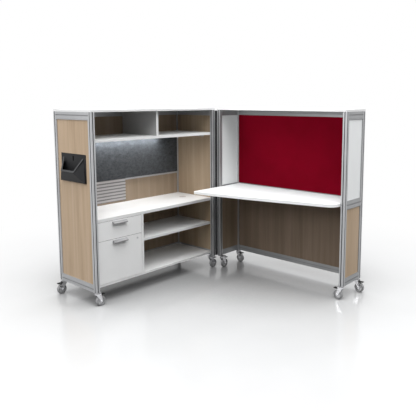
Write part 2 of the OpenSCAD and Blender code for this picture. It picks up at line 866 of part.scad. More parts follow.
module caster_fork() color("silver") difference() {
    union() {
        translate([0, 0, head_low]) cylinder(r = fork_head_r, h = head_h);
        for (y = [leg_out, -leg_gap])
            translate([0, y, 0]) rotate([90, 0, 0]) linear_extrude(fork_leg_t) leg_outline();
        translate([trail, leg_out + rivet_h, wheel_r]) rotate([90, 0, 0])
            cylinder(r = rivet_r, h = rivet_h);
        translate([trail, -leg_out, wheel_r]) rotate([90, 0, 0])
            cylinder(r = rivet_r, h = rivet_h);
        translate([trail, leg_out, wheel_r]) rotate([90, 0, 0])
            cylinder(r = axle_r, h = leg_out * 2);
    }
    translate([0, 0, head_low - cut]) cylinder(r = kingpin_r + run_gap, h = head_h + cut * 2);
    translate([brake_x, leg_out + cut, brake_z]) rotate([90, 0, 0])
        cylinder(r = brake_pin_r + run_gap, h = leg_out * 2 + cut * 2);
}

module caster_wheel() color("gainsboro") translate([trail, 0, wheel_r]) rotate([90, 0, 0]) {
    half = tyre_w / 2;
    bore = axle_r + run_gap;
    rotate_extrude() polygon([
        [bore, -hub_half], [hub_r, -hub_half], [hub_r, -web_half], [rim_r, -web_half],
        [rim_r, -half], [wheel_r - tyre_round, -half],
        [wheel_r - tyre_round / 3, tyre_round / 3 - half], [wheel_r, tyre_round - half],
        [wheel_r, half - tyre_round], [wheel_r - tyre_round / 3, half - tyre_round / 3],
        [wheel_r - tyre_round, half], [rim_r, half],
        [rim_r, web_half], [hub_r, web_half], [hub_r, hub_half], [bore, hub_half],
    ]);
}

// A brake lever on a pin between the fork's legs, with its pad over the tyre.
module caster_brake() color("black") {
    arm_x0 = brake_x - brake_pin_r;
    low = brake_z - brake_pin_r;
    high = low + pad_t;
    union() {
        translate([brake_x, brake_pin_half, brake_z]) rotate([90, 0, 0])
            cylinder(r = brake_pin_r, h = brake_pin_half * 2);
        box([arm_x0, -brake_half, low], [pad_x0 + cut, brake_half, high]);
        box([pad_x0, -pad_half, low], [pad_x1, pad_half, high]);
        box([brake_x + brake_pin_r, -brake_half / 2, shoe_low],
            [brake_x + brake_pin_r * 4, brake_half / 2, low + cut]);
    }
}

// One node for one caster, out of a unit's list.
module at_caster(c) translate([c[1][0], c[1][1], 0]) rotate([0, 0, c[2]]) children();

module storage_caster(i, kind)
    in_storage() at_caster(storage_casters[i]) caster_part(kind);

module desk_caster(i, kind) in_desk() at_caster(desk_casters[i]) caster_part(kind);

module caster_part(kind) {
    if (kind == "_fork") caster_fork();
    if (kind == "_wheel") caster_wheel();
    if (kind == "_brake") caster_brake();
}

storage_posts();
storage_rails();
storage_top_cap();
storage_side_panels();
storage_back_panel();
overhead_shelf();
tackboard();
tool_rail();
slatted_tile();
task_light();
storage_worktop();
bottom_panel();
pedestal_sides();
middle_shelf();
storage_fittings();
wall_pocket();
storage_hinge_leaf();
hinge_pin();
storage_caster_plates();
box_drawer_tray();
box_drawer_front();
box_drawer_pull();
file_drawer_tray();
file_drawer_front();
file_drawer_pull();
lock_cylinder();
desk_posts();
desk_rails();
desk_top_cap();
desk_upper_panels();
desk_lower_panels();
fabric_tack_panel();
desk_top();
desk_arms();
desk_hinge_leaf();
desk_caster_plates();
for (i = [0:3], kind = ["_fork", "_wheel", "_brake"]) {
    storage_caster(i, kind);
    desk_caster(i, kind);
}
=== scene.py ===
"""Looks, camera, light and small parts of the workstation, around its CAD frame."""
import json
import math

import bmesh
import bpy
from mathutils import Matrix, Vector


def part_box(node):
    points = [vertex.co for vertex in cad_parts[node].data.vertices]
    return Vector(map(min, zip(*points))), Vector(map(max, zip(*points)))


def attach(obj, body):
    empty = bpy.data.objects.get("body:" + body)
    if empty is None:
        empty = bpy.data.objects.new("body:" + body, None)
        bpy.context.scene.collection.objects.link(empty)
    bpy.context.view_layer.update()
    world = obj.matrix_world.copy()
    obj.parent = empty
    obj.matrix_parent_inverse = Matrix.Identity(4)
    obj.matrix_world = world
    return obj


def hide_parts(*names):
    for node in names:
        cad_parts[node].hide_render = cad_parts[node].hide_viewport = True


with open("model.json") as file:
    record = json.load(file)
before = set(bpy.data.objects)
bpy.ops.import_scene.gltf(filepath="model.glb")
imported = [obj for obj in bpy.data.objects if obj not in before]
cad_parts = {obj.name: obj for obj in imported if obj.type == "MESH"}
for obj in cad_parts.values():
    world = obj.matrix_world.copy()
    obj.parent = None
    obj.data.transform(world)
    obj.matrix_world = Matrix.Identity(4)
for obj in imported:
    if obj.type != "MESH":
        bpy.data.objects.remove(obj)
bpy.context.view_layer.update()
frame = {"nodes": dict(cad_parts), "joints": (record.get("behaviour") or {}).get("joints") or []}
nodes = frame["nodes"]
joints = {j["name"]: j for j in frame["joints"]}
CASTERS = sorted(n.removesuffix("_fork") for n in nodes if n.endswith("_fork"))

# Camera at the photograph's place, in metres and degrees.
cam = bpy.data.objects.new("camera", bpy.data.cameras.new("camera"))
bpy.context.scene.collection.objects.link(cam)
cam.location = (2.8288, -2.9629, 1.5325)
cam.rotation_euler = (math.radians(82.72), 0, math.radians(40.82))
cam.data.lens = 45.69
cam.data.sensor_width = 36
cam.data.shift_x = -0.0625
cam.data.shift_y = -0.0958
cam.data.clip_end = 100
bpy.context.scene.camera = cam


class Tree:
    """A cleared node tree with its output, and short calls for adding to it."""

    def __init__(self, tree, output):
        self.tree = tree
        self.tree.nodes.clear()
        self.out = self.add(output)

    def add(self, kind, **inputs):
        node = self.tree.nodes.new(kind)
        for key, value in inputs.items():
            node.inputs[key.replace("_", " ")].default_value = value
        return node

    def link(self, a, out, b, into):
        self.tree.links.new(a.outputs[out], b.inputs[into])

    def ramp(self, source, stops, out=0):
        """Colour ramp over source's output out. stops are (position, grey or rgb)."""
        node = self.add("ShaderNodeValToRGB")
        elements = node.color_ramp.elements
        while len(elements) < len(stops):
            elements.new(0.5)
        for e, (at, value) in zip(elements, stops):
            e.position = at
            rgb = value if isinstance(value, tuple) else (value,) * 3
            e.color = (*rgb, 1)
        self.link(source, out, node, "Fac")
        return node

    def combine(self, operation, a, a_out, b, b_out):
        """A Math node over one output of a and one of b."""
        node = self.add("ShaderNodeMath")
        node.operation = operation
        self.link(a, a_out, node, 0)
        self.link(b, b_out, node, 1)
        return node

    def seen(self, path):
        """1 where a camera, glossy or transmission ray of Light Path comes, else 0."""
        straight = self.combine("MAXIMUM", path, "Is Camera Ray", path, "Is Glossy Ray")
        return self.combine("MAXIMUM", straight, 0, path, "Is Transmission Ray")

    def white(self, kind):
        """An Emission or Background node that shows as plain white."""
        return self.add(kind, Color=(1, 1, 1, 1), Strength=1.0)

    def output(self, fac, a, b):
        """Send the mix of shaders a and b by fac to the output."""
        node = self.add("ShaderNodeMixShader")
        for i, source in enumerate((fac, a, b)):
            self.link(source, 0, node, i)
        self.link(node, 0, self.out, "Surface")


class Nodes(Tree):
    """A material of its own, with a Principled surface and coordinates."""

    def __init__(self, name):
        self.mat = bpy.data.materials.new(name)
        self.mat.use_nodes = True
        super().__init__(self.mat.node_tree, "ShaderNodeOutputMaterial")
        self.bsdf = self.add("ShaderNodeBsdfPrincipled")
        self.link(self.bsdf, "BSDF", self.out, "Surface")
        self.coord = self.add("ShaderNodeTexCoord")

    def mapped(self, scale):
        """Object coordinates, stretched by scale in x, y and z."""
        node = self.add("ShaderNodeMapping", Scale=scale)
        self.link(self.coord, "Object", node, "Vector")
        return node

    def noise(self, scale, stretch=(1, 1, 1), detail=4, roughness=0.55, distortion=0):
        """Noise in metres. A larger stretch along an axis makes it finer there."""
        node = self.add("ShaderNodeTexNoise", Scale=scale, Detail=detail,
                        Roughness=roughness, Distortion=distortion)
        self.link(self.mapped(stretch), "Vector", node, "Vector")
        return node

    def link_colour(self, source, node, into):
        """Link source's colour, which a Mix node has at its third output."""
        self.link(source, 2 if source.type == "MIX" else 0, node, into)

    def mix(self, kind, fac, a, b):
        """Colour mix of a and b by blend kind. Each of them is a value or a node."""
        node = self.add("ShaderNodeMix")
        node.data_type = "RGBA"
        node.blend_type = kind
        for value, socket in ((fac, 0), (a, 6), (b, 7)):
            if isinstance(value, (int, float, tuple)):
                node.inputs[socket].default_value = value
            else:
                self.link_colour(value, node, socket)
        return node

    def neutral_bounce(self, path, node, grey):
        """Node's colour as seen, but plain grey in the light that bounces off it."""
        bounced = self.mix("MIX", 0.0, node, (grey, grey, grey, 1))
        self.link(path, "Is Diffuse Ray", bounced, 0)
        return bounced

    def colour(self, node):
        """The surface's base colour comes from node."""
        self.link_colour(node, self.bsdf, "Base Color")

    def rough(self, source, low, high):
        """The surface's roughness follows source, from low to high."""
        node = self.add("ShaderNodeMapRange", To_Min=low, To_Max=high)
        self.link(source, 0, node, "Value")
        self.link(node, "Result", self.bsdf, "Roughness")

    def bump(self, source, strength, distance, under=None):
        """Relief from source, over that of the bump node under."""
        node = self.add("ShaderNodeBump", Strength=strength, Distance=distance)
        self.link(source, 0, node, "Height")
        if under:
            self.link(under, "Normal", node, "Normal")
        self.link(node, "Normal", self.bsdf, "Normal")
        return node

    def set(self, **values):
        """Plain values on the surface's own sockets."""
        for key, value in values.items():
            self.bsdf.inputs[key.replace("_", " ")].default_value = value


def oak(name, tones):
    """Upright grain: broad bands in three tones, streaks and fine pores."""
    m = Nodes(name)
    broad = m.noise(1, (16, 16, 0.7), detail=3, distortion=0.6)
    streak = m.noise(1, (75, 75, 1.6), detail=5, roughness=0.6)
    pores = m.noise(1, (420, 420, 9), detail=3, roughness=0.7)
    base = m.ramp(broad, list(zip((0.3, 0.52, 0.72), tones)))
    grain = m.ramp(streak, [(0.25, 0.84), (0.5, 0.98), (0.75, 1.0)])
    pore = m.ramp(pores, [(0.32, 0.8), (0.46, 1.0)])
    m.colour(m.mix("MULTIPLY", 0.5, m.mix("MULTIPLY", 0.75, base, grain), pore))
    m.rough(streak, 0.42, 0.6)
    m.set(Specular_IOR_Level=0.15)
    m.bump(pores, 0.25, 0.0004, m.bump(streak, 0.15, 0.0006))
    return m.mat


def anodised(name, light, dark):
    """Aluminium profile: half metallic, with a fine upright brushing."""
    m = Nodes(name)
    brushed = m.noise(1, (900, 900, 14), detail=3)
    cloud = m.noise(3, detail=2)
    tone = m.ramp(cloud, [(0.35, dark), (0.65, light)])
    m.colour(m.mix("MULTIPLY", 0.25, tone, m.ramp(brushed, [(0.3, 0.8), (0.6, 1.0)])))
    m.rough(brushed, 0.36, 0.48)
    m.set(Metallic=0.5)
    m.bump(brushed, 0.12, 0.0002)
    return m.mat


def laminate(name, light, dark, scale=260, rough=(0.3, 0.42), shine=0.3):
    """A pressed laminate or moulded surface: faint mottle and a fine emboss."""
    m = Nodes(name)
    mottle = m.noise(5, detail=3)
    emboss = m.noise(scale, detail=4, roughness=0.65)
    m.colour(m.ramp(mottle, [(0.35, dark), (0.65, light)]))
    m.rough(emboss, *rough)
    m.set(Specular_IOR_Level=shine)
    m.bump(emboss, 0.12, 0.0003)
    return m.mat


WAVES = 3.18  # bands of a Wave texture in one unit, at a scale of 1


def woven(name, light, dark, pitch, sheen, sheen_colour):
    """Cloth over a board: crossing threads, a soft mottle and sheen."""
    m = Nodes(name)
    threads = []
    for axis in ("X", "Z"):
        wave = m.add("ShaderNodeTexWave", Scale=1 / pitch / WAVES, Distortion=0.6,
                     Detail=1.0)
        wave.bands_direction = axis
        m.link(m.coord, "Object", wave, "Vector")
        threads.append(wave)
    weave = m.mix("MULTIPLY", 1.0, *[m.ramp(t, [(0.1, 0.55), (0.8, 1.0)]) for t in threads])
    mottle = m.ramp(m.noise(9, detail=5), [(0.35, dark), (0.65, light)])
    fuzz = m.noise(900, detail=2)
    cloth = m.mix("MULTIPLY", 0.6, m.mix("MULTIPLY", 0.5, mottle, weave),
                  m.ramp(fuzz, [(0.3, 0.75), (0.6, 1.0)]))
    m.colour(m.neutral_bounce(m.add("ShaderNodeLightPath"), cloth, 0.09))
    m.set(Roughness=0.88, Sheen_Weight=sheen, Sheen_Roughness=0.45, Sheen_Tint=sheen_colour,
          Specular_IOR_Level=0.05)
    height = m.add("ShaderNodeRGBToBW")
    m.link_colour(weave, height, 0)
    m.bump(fuzz, 0.15, 0.0004, m.bump(height, 0.5, 0.0006))
    return m.mat


def felt(name, light, dark):
    """Pressed felt: a strong cloudy mottle and a loose nap."""
    m = Nodes(name)
    cloud = m.noise(1, (30, 30, 45), detail=8, roughness=0.75, distortion=0.8)
    fuzz = m.noise(420, detail=4, roughness=0.8)
    m.colour(m.mix("MULTIPLY", 0.5, m.ramp(cloud, [(0.34, dark), (0.66, light)]),
                   m.ramp(fuzz, [(0.3, 0.55), (0.65, 1.0)])))
    m.set(Roughness=0.85, Sheen_Weight=0.3, Sheen_Roughness=0.4, Specular_IOR_Level=0.25)
    m.bump(fuzz, 0.5, 0.0012)
    return m.mat


def metal(name, light, dark, metallic, rough, grain=(300, 300, 300)):
    """Plated or satin metal: a speck or, with an uneven grain, a brushing."""
    m = Nodes(name)
    speck = m.noise(1, grain, detail=4)
    m.colour(m.ramp(speck, [(0.35, dark), (0.65, light)]))
    m.rough(speck, *rough)
    m.set(Metallic=metallic)
    m.bump(speck, 0.08, 0.0002)
    return m.mat


def powder(name, light, dark, rough=(0.42, 0.6), shine=0.5):
    """Powder coat or grained plastic: a fine orange peel."""
    m = Nodes(name)
    peel = m.noise(700, detail=3, roughness=0.6)
    m.colour(m.ramp(m.noise(8, detail=2), [(0.35, dark), (0.65, light)]))
    m.rough(peel, *rough)
    m.set(Specular_IOR_Level=shine)
    m.bump(peel, 0.3, 0.0005)
    return m.mat


def tyre():
    """Grey moulded rubber."""
    m = Nodes("tyre")
    m.colour(m.ramp(m.noise(40, detail=3),
                    [(0.35, (0.27, 0.27, 0.275)), (0.65, (0.33, 0.33, 0.335))]))
    m.rough(m.noise(300), 0.32, 0.46)
    m.bump(m.noise(500), 0.2, 0.0003)
    return m.mat


def glowing():
    """The task light's lit diffuser."""
    m = Nodes("diffuser")
    m.colour(m.ramp(m.noise(30), [(0.3, (0.8, 0.82, 0.85)), (0.7, (0.86, 0.88, 0.9))]))
    m.set(Roughness=0.5, Emission_Color=(0.86, 0.93, 1.0, 1), Emission_Strength=2.5)
    return m.mat


# The materials. Each has its light tone first, then its dark one, and oak has three.
OAK = oak("oak", ((0.44, 0.32, 0.215), (0.52, 0.39, 0.27), (0.575, 0.44, 0.32)))
# Oak in darker tones: painted shade for the side panels' inner faces.
OAK_PAINTED_SHADE = oak("oak_painted_shade",
                ((0.36, 0.265, 0.175), (0.425, 0.325, 0.225), (0.47, 0.365, 0.26)))
# Darker again: painted shade for the back panel's inner face and the desk's inner side faces.
OAK_PAINTED_SHADE_INSIDE = oak("oak_painted_shade_inside",
                 ((0.29, 0.225, 0.155), (0.345, 0.265, 0.19), (0.39, 0.305, 0.225)))
# Darkest: painted shade for the desk's lower panel faces that face the front, under the desk
# top.
OAK_PAINTED_SHADE_UNDER = oak("oak_painted_shade_under_desk",
                ((0.2, 0.148, 0.105), (0.24, 0.178, 0.13), (0.27, 0.203, 0.152)))
ALU = anodised("anodised_aluminium", (0.53, 0.535, 0.545), (0.46, 0.465, 0.475))
# The rails: the posts' aluminium darkened with painted shade, the desk's rails more.
STORAGE_RAIL_PAINTED_SHADE = anodised("storage_rail_aluminium_painted_shade", (0.465, 0.47, 0.48),
                        (0.405, 0.41, 0.42))
DESK_RAIL_PAINTED_SHADE = anodised("desk_rail_aluminium_painted_shade", (0.375, 0.38, 0.387), (0.325, 0.33, 0.337))
WHITE = laminate("white_laminate", (0.86, 0.86, 0.855), (0.83, 0.83, 0.825))
# The desk's laminate: the white laminate made brighter with painted light.
DESK_WHITE_PAINTED_LIGHT = laminate("desk_laminate_painted_light", (0.955, 0.965, 0.965), (0.94, 0.95, 0.95), 260,
                      (0.42, 0.55), 0.12)
# The shelves' laminate: the white laminate darkened with painted shade.
SHELF_PAINTED_SHADE = laminate("shelf_laminate_painted_shade", (0.77, 0.77, 0.765), (0.74, 0.74, 0.735))
# The divider's laminate: the white laminate darkened further with painted shade.
DIVIDER_PAINTED_SHADE = laminate("divider_laminate_painted_shade", (0.46, 0.46, 0.46), (0.43, 0.43, 0.43))
# A white edge band, a little grey with painted shade on the boards' upright edges.
EDGE_BAND_PAINTED_SHADE = laminate("white_edge_band_painted_shade", (0.8, 0.8, 0.795), (0.76, 0.76, 0.755), 500)
TILE = laminate("tile_plastic", (0.51, 0.49, 0.485), (0.475, 0.455, 0.45), 500, (0.4, 0.5))
RED = woven("red_fabric", (0.228, 0.0002, 0.0118), (0.208, 0.0002, 0.0098), 0.0016, 0.02,
            (0.6, 0.02, 0.06, 1))
SLATE = felt("slate_felt", (0.086, 0.092, 0.1), (0.024, 0.0265, 0.029))
SATIN = metal("satin_aluminium", (0.62, 0.62, 0.63), (0.54, 0.54, 0.55), 0.85, (0.28, 0.4),
              (60, 900, 900))
# Slot covers, a little darker than the rails: partly painted shade along the slots.
SLOT_COVER_PAINTED_SHADE = powder("slot_cover_painted_shade", (0.3, 0.3, 0.303), (0.26, 0.26, 0.263), (0.45, 0.6))
# The pulls' faces that don't turn up and the lock's sides: the pulls' metal darkened with
# painted shade.
PULL_LIP_PAINTED_SHADE = metal("pull_lip_painted_shade", (0.34, 0.34, 0.345), (0.28, 0.28, 0.285), 0.5, (0.4, 0.5),
                 (60, 900, 900))
LOCK_FACE = metal("lock_face", (0.74, 0.74, 0.745), (0.68, 0.68, 0.685), 0.3, (0.35, 0.45))
HUB = metal("caster_hub", (0.6, 0.6, 0.61), (0.5, 0.5, 0.51), 0.9, (0.22, 0.34))
STEEL = metal("zinc_steel", (0.5, 0.5, 0.51), (0.38, 0.38, 0.39), 0.8, (0.32, 0.5))
CHROME = metal("chrome", (0.78, 0.78, 0.8), (0.7, 0.7, 0.72), 1.0, (0.2, 0.28))
TRAY = powder("tray_coat", (0.72, 0.72, 0.71), (0.68, 0.68, 0.67))
BLACK = powder("black_coat", (0.018, 0.018, 0.02), (0.01, 0.01, 0.011))
PLASTIC = powder("black_plastic", (0.014, 0.014, 0.015), (0.008, 0.008, 0.009),
                 (0.5, 0.62), 0.2)
# The pocket's rim band: the black plastic lightened with a painted highlight.
RIM_PAINTED_HIGHLIGHT = powder("pocket_rim_painted_highlight", (0.04, 0.04, 0.042), (0.03, 0.03, 0.031), (0.4, 0.5),
             0.35)
# Near-black painted shade for the pocket's hang slot.
SLOT_PAINTED_SHADE = powder("slot_painted_shade", (0.002, 0.002, 0.002), (0.001, 0.001, 0.001), (0.7, 0.8),
               0.05)
GROMMET = laminate("grommet_plastic", (0.6, 0.55, 0.53), (0.54, 0.5, 0.48), 500)
PEDAL = powder("pedal_rubber", (0.012, 0.012, 0.012), (0.006, 0.006, 0.006), (0.5, 0.65))
# The grooves of posts and rails: aluminium darkened with painted shade in the recess.
GROOVE_PAINTED_SHADE = metal("groove_painted_shade", (0.13, 0.13, 0.135), (0.09, 0.09, 0.095), 0.4, (0.5, 0.6))
RAIL_GROOVE_PAINTED_SHADE = metal("rail_groove_painted_shade", (0.34, 0.34, 0.345), (0.28, 0.28, 0.285), 0.4,
                    (0.5, 0.6))
# The tile's gaps between slats: painted shade.
TILE_GAP_PAINTED_SHADE = laminate("tile_gap_painted_shade", (0.24, 0.23, 0.23), (0.2, 0.19, 0.19), 500, (0.5, 0.6))
FRONT = laminate("drawer_laminate", (0.88, 0.88, 0.875), (0.86, 0.86, 0.855))
# Near-black edge band on the drawer fronts: painted shade for the gaps between them.
FRONT_EDGE_PAINTED_SHADE = laminate("drawer_edge_painted_shade", (0.1, 0.1, 0.1), (0.08, 0.08, 0.08), 500)
TYRE = tyre()
GLOW = glowing()


def soften(o, width):
    """Round o's corners a little, so that they catch the light."""
    mod = o.modifiers.new("edges", "BEVEL")
    mod.width = width
    mod.segments = 2
    mod.limit_method = "ANGLE"
    mod.angle_limit = math.radians(40)


def dress(name, *mats, bevel=0.0, pick=None):
    """CAD node name gets mats, and pick(face centre, face normal) says which, by number."""
    o = nodes[name]
    o.data.materials.clear()
    for m in mats:
        o.data.materials.append(m)
    for p in o.data.polygons:
        p.material_index = pick(p.center, p.normal) if pick else 0
    if bevel:
        soften(o, bevel)


STEEP = 0.5  # a normal with more than this along an axis faces that way


def on_edge(centre, normal):
    """1 on a board's edge band, which carries painted shade, 0 on its faces."""
    return 1 if abs(normal.z) < STEEP else 0


POST_HALF = 0.016  # from a post's outer face to its middle
POST_GROOVE = 0.0155  # faces nearer to the middle than this lie in a groove


def in_post_groove(name):
    """A pick that says 1 in the grooves along the posts."""
    low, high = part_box(name)

    def pick(c, n):
        if abs(n.z) > STEEP:
            return 0
        x = low.x + POST_HALF if c.x < (low.x + high.x) / 2 else high.x - POST_HALF
        y = low.y + POST_HALF if c.y < (low.y + high.y) / 2 else high.y - POST_HALF
        return 1 if abs((c - Vector((x, y, c.z))).dot(n)) < POST_GROOVE else 0
    return pick


LOW_RAIL, MID_RAIL, TOP_RAIL = 0.135, 0.743, 1.426  # the rail grooves' heights
RAIL_GROOVE_HALF = 0.0045
RAIL_GROOVE_REACH = 0.0055  # faces within this of the unit's outside can lie in one


def in_rail_groove(name, mids):
    """A pick that says 1 in the outer grooves of the rails at the heights mids."""
    low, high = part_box(name)

    def pick(c, n):
        out = min(c.x - low.x, high.x - c.x, c.y - low.y, high.y - c.y)
        level = any(abs(c.z - z) < RAIL_GROOVE_HALF for z in mids)
        return 1 if out < RAIL_GROOVE_REACH and level else 0
    return pick


# Posts and rails take the groove materials' painted shade in their grooves.
for name in ("storage_posts", "desk_posts"):
    dress(name, ALU, GROOVE_PAINTED_SHADE, bevel=0.0007, pick=in_post_groove(name))
dress("storage_rails", STORAGE_RAIL_PAINTED_SHADE, RAIL_GROOVE_PAINTED_SHADE, bevel=0.0007,
      pick=in_rail_groove("storage_rails", (LOW_RAIL, TOP_RAIL)))
dress("desk_rails", DESK_RAIL_PAINTED_SHADE, RAIL_GROOVE_PAINTED_SHADE, bevel=0.0007,
      pick=in_rail_groove("desk_rails", (LOW_RAIL, MID_RAIL, TOP_RAIL)))
dress("tool_rail", ALU, bevel=0.0007)

# The wood's inner faces have darker tones, as painted shade: those that turn towards the unit's
# middle.
INWARD = -0.1
low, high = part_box("storage_side_panels")
side_mid = (low.y + high.y) / 2
dress("storage_side_panels", OAK, OAK_PAINTED_SHADE,
      pick=lambda c, n: 1 if n.y * (c.y - side_mid) < INWARD else 0)
dress("storage_back_panel", OAK, OAK_PAINTED_SHADE_INSIDE, pick=lambda c, n: 1 if n.x > STEEP else 0)
low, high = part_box("desk_lower_panels")
desk_mid = (low.x + high.x) / 2
# The desk's lower panels take painted shade: darkest under the top, darker on the inner sides.
dress("desk_lower_panels", OAK, OAK_PAINTED_SHADE_UNDER, OAK_PAINTED_SHADE_INSIDE,
      pick=lambda c, n: 1 if n.y < -STEEP else 2 if n.x * (c.x - desk_mid) < INWARD else 0)

dress("storage_worktop", WHITE, EDGE_BAND_PAINTED_SHADE, bevel=0.0015, pick=on_edge)
# The desk's top and upper panels carry the painted light of the brighter desk laminate.
dress("desk_top", DESK_WHITE_PAINTED_LIGHT, bevel=0.0015)
for name in ("storage_top_cap", "desk_top_cap", "pedestal_sides"):
    dress(name, WHITE, bevel=0.001)
# The middle shelf and bottom panel take the shelf laminate's painted shade.
for name in ("middle_shelf", "bottom_panel"):
    dress(name, SHELF_PAINTED_SHADE, EDGE_BAND_PAINTED_SHADE, bevel=0.001, pick=on_edge)
DIVIDER_FROM = 1.26  # faces to the side above this height are the upright divider's
# The divider's side faces take painted shade.
dress("overhead_shelf", WHITE, DIVIDER_PAINTED_SHADE, bevel=0.001,
      pick=lambda c, n: 1 if abs(n.y) > STEEP and c.z > DIVIDER_FROM else 0)
# The fronts' edges and their bevels take the near-black painted shade of the gaps.
for name in ("box_drawer_front", "file_drawer_front"):
    dress(name, FRONT, FRONT_EDGE_PAINTED_SHADE, bevel=0.0018,
          pick=lambda c, n: 0 if abs(n.x) > STEEP else 1)
    nodes[name].modifiers["edges"].material = 1
dress("desk_upper_panels", DESK_WHITE_PAINTED_LIGHT)
dress("fabric_tack_panel", RED, bevel=0.0025)
dress("tackboard", SLATE, bevel=0.0015)
SLAT_DEEP = 0.0005  # faces this near to the tile's front are the slats', not the gaps'
tile_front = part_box("slatted_tile")[1].x
# The gaps between the slats take painted shade.
dress("slatted_tile", TILE, TILE_GAP_PAINTED_SHADE, bevel=0.0008,
      pick=lambda c, n: 0 if c.x > tile_front - SLAT_DEEP else 1)
DIFFUSER_HIGH = 0.004  # the light's faces below this are its diffuser
light_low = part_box("task_light")[0].z
dress("task_light", SATIN, GLOW,
      pick=lambda c, n: 1 if c.z < light_low + DIFFUSER_HIGH else 0)
for name in ("box_drawer_pull", "file_drawer_pull"):
    dress(name, SATIN, bevel=0.0006)
# The lock's sides take the pulls' painted shade.
dress("lock_cylinder", LOCK_FACE, PULL_LIP_PAINTED_SHADE, bevel=0.0006,
      pick=lambda c, n: 0 if n.x > STEEP else 1)
for name in ("box_drawer_tray", "file_drawer_tray"):
    dress(name, TRAY, bevel=0.0008)
for name in ("storage_fittings", "desk_arms", "hinge_pin", "storage_caster_plates",
             "desk_caster_plates"):
    dress(name, STEEL, bevel=0.0005)
dress("wall_pocket", PLASTIC, bevel=0.0006)
for name in ("storage_hinge_leaf", "desk_hinge_leaf"):
    dress(name, BLACK, bevel=0.0005)
TYRE_FROM = 0.0262  # the radius where a wheel's core ends and its tyre begins
for name in CASTERS:
    axle = Vector(joints[name + "_roll"]["pos_m"])
    dress(name + "_fork", CHROME, bevel=0.0005)
    dress(name + "_brake", PEDAL, bevel=0.001)
    dress(name + "_wheel", HUB, TYRE,
          pick=lambda c, n: 1 if (c - axle).length > TYRE_FROM else 0)


def added(name, bm, body, mat):
    """The mesh as an object of its own that rides a body, with the material mat."""
    bmesh.ops.recalc_face_normals(bm, faces=bm.faces)
    mesh = bpy.data.meshes.new(name)
    bm.to_mesh(mesh)
    bm.free()
    mesh.materials.append(mat)
    o = bpy.data.objects.new(name, mesh)
    bpy.context.scene.collection.objects.link(o)
    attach(o, body)
    return o


def turned(bm, at, out, profile, sides=20):
    """Add a turned form: profile's (radius, height) points about out, from at."""
    place = Matrix.Translation(at) @ out.to_track_quat("Z", "Y").to_matrix().to_4x4()
    rings = [[bm.verts.new(place @ Vector((r * math.cos(a), r * math.sin(a), h)))
              for a in (math.tau * i / sides for i in range(sides))] for r, h in profile]
    for low, high in zip(rings, rings[1:]):
        for i in range(sides):
            bm.faces.new((low[i], low[(i + 1) % sides], high[(i + 1) % sides], high[i]))
    bm.faces.new(rings[0])
    bm.faces.new(rings[-1])


def slab(bm, low, high, turn=Matrix.Identity(4), chamfer=0.0003):
    """Add a bar with chamfered edges between two corners, turned by turn."""
    made = bmesh.ops.create_cube(bm, size=1.0)
    low, high = Vector(low), Vector(high)
    for v in made["verts"]:
        v.co = Vector(a + (b - a) * (k + 0.5) for a, b, k in zip(low, high, v.co))
    edges = list(dict.fromkeys(e for v in made["verts"] for e in v.link_edges))
    cut = bmesh.ops.bevel(bm, geom=edges, offset=chamfer, segments=1, affect="EDGES")
    verts = {v for v in made["verts"] if v.is_valid} | set(cut["verts"])
    bmesh.ops.transform(bm, matrix=turn, verts=list(verts))


# A screw's head as (radius, height), in parts of its full radius and height.
SCREW = ((1, 0), (1, 0.35), (0.85, 0.8), (0.55, 1), (0.4, 1), (0.36, 0.3))
SCREW_R, SCREW_H = 0.0038, 0.0012


def screws(name, body, mat, places, out):
    """Domed heads with a socket at the places, out from the face that they are on."""
    bm = bmesh.new()
    head = [(r * SCREW_R, h * SCREW_H) for r, h in SCREW]
    for at in places:
        turned(bm, Vector(at), Vector(out), head, 16)
    added(name, bm, body, mat)


# Screws along both hinge leaves, on the leaves' own faces.
LEAF = 0.0025  # a leaf's thickness
LEAF_EDGE = 0.014  # from a leaf's outer edge to its screws
SCREW_COUNT = 14
low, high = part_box("storage_hinge_leaf")
heights = [low.z + (high.z - low.z) * (i + 0.5) / SCREW_COUNT for i in range(SCREW_COUNT)]
screws("storage_hinge_screws", "storage_unit", STEEL,
       [(low.x + LEAF_EDGE, low.y + LEAF, z) for z in heights], (0, 1, 0))
low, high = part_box("desk_hinge_leaf")
screws("desk_hinge_screws", "desk_unit", STEEL,
       [(high.x - LEAF, high.y - LEAF_EDGE, z) for z in heights], (-1, 0, 0))


def strip(name, body, slot, mat, *bars):
    """Thin bars, each from its low to its high corner, as one piece."""
    bm = bmesh.new()
    for low, high in bars:
        slab(bm, low, high, chamfer=0.0002)
    added(name, bm, body, mat)


# Dark strips behind the knuckles paint the shade in the gap between the two corner posts. Each
# has two corners in plan, from the hinge's axis.
STORAGE_GAP_SHADE = ((-0.011, -0.0045), (-0.0097, 0.004))
DESK_GAP_SHADE = ((-0.004, 0.0125), (0.0045, 0.0138))
low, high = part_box("storage_hinge_leaf")
axis = Vector(joints["unit_hinge"]["pos_m"])


def gap_shade_strip(name, body, corners):
    strip(name, body, "black_plastic", PEDAL,
          [(axis.x + x, axis.y + y, z) for (x, y), z in zip(corners, (low.z, high.z))])


gap_shade_strip("storage_gap_painted_shade", "storage_unit", STORAGE_GAP_SHADE)
gap_shade_strip("desk_gap_painted_shade", "desk_unit", DESK_GAP_SHADE)

